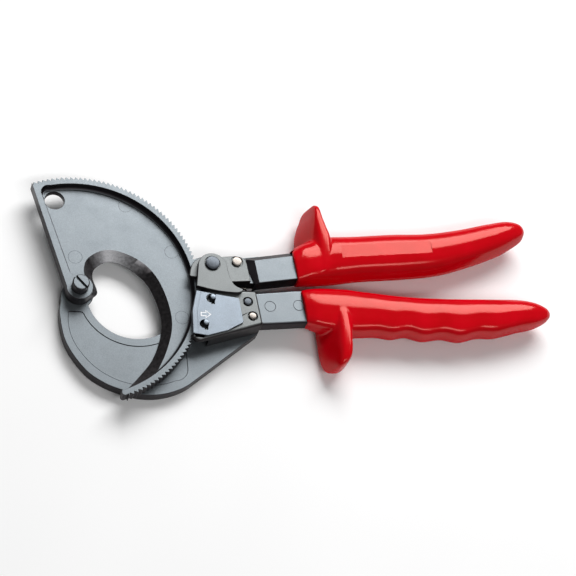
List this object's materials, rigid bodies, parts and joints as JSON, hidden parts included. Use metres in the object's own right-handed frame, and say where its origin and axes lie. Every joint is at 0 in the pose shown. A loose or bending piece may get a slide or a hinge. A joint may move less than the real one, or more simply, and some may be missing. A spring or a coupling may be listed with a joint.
{
  "type": "ratchet cable cutter",
  "caption": "Hand ratchet cable cutter with hooked fixed blade, toothed moving blade, pawl housing, release plate and red insulated handles with finger guards.",
  "frame": {"origin": "middle of the underside of the tool as it lies flat", "axes": "+X along the tool from the blades to the handle ends, +Y across it from the fixed handle to the moving handle, +Z out of the front, where the release plate is"},
  "size_m": [0.288, 0.124, 0.0236],
  "materials": {
    "blade_steel": "satin blasted steel",
    "housing_steel": "satin steel",
    "blued_steel": "smooth bluish sheet",
    "bright_steel": "polished heads",
    "spring_wire": "drawn wire",
    "red_dip": "glossy dipped coating"
  },
  "bodies": {
    "frame": {"fixed_blade": "blade_steel", "pivot_bolt": "blade_steel", "housing_cover": "housing_steel", "housing_rivet_upper": "bright_steel", "housing_rivet_lower": "bright_steel", "handle_pivot_rivet": "blade_steel", "release_stud_upper": "bright_steel", "release_stud_lower": "bright_steel", "holding_pawl_pin": "bright_steel", "holding_pawl_spring": "spring_wire", "handle_return_spring": "spring_wire", "fixed_handle_bar": "blade_steel", "tang_rivet_inner": "blade_steel", "tang_rivet_outer": "blade_steel", "fixed_handle_grip": "red_dip"},
    "cutting_blade": {"moving_blade": "blade_steel"},
    "moving_handle": {"moving_handle_bar": "blade_steel", "handle_eye_plate": "blade_steel", "eye_plate_rivet": "bright_steel", "drive_pawl_pin": "bright_steel", "drive_pawl_spring": "spring_wire", "moving_handle_grip": "red_dip"},
    "release": {"release_plate": "blued_steel"},
    "feed_pawl": {"drive_pawl": "blade_steel"},
    "lock_pawl": {"holding_pawl": "blade_steel"}
  },
  "joints": [
    {"name": "blade_swing", "type": "hinge", "parent": "frame", "child": "cutting_blade", "pos_m": [-0.11878, -0.00297, 0.01105], "axis": [0, 0, 1], "range_deg": [-105, 100]},
    {"name": "handle_swing", "type": "hinge", "parent": "frame", "child": "moving_handle", "pos_m": [-0.04908, 0.01203, 0.0164], "axis": [0, 0, 1], "range_deg": [-1, 24], "deforming": ["handle_return_spring"]},
    {"name": "release_slide", "type": "slide", "parent": "frame", "child": "release", "axis": [1, 0, 0], "range_m": [0, 0.0018], "stiffness_N_per_m": 400},
    {"name": "drive_pawl_lift", "type": "hinge", "parent": "moving_handle", "child": "feed_pawl", "pos_m": [-0.04138, 0.00603, 0.01105], "axis": [0, 0, 1], "range_deg": [0, 8], "deforming": ["drive_pawl_spring"]},
    {"name": "holding_pawl_lift", "type": "hinge", "parent": "frame", "child": "lock_pawl", "pos_m": [-0.04028, -0.01517, 0.01105], "axis": [0, 0, 1], "range_deg": [0, 8], "deforming": ["holding_pawl_spring"]}
  ],
  "couplings": [
    {"joint": "drive_pawl_lift", "follows": "release_slide", "rad_per_m": 77},
    {"joint": "holding_pawl_lift", "follows": "release_slide", "rad_per_m": 77}
  ]
}
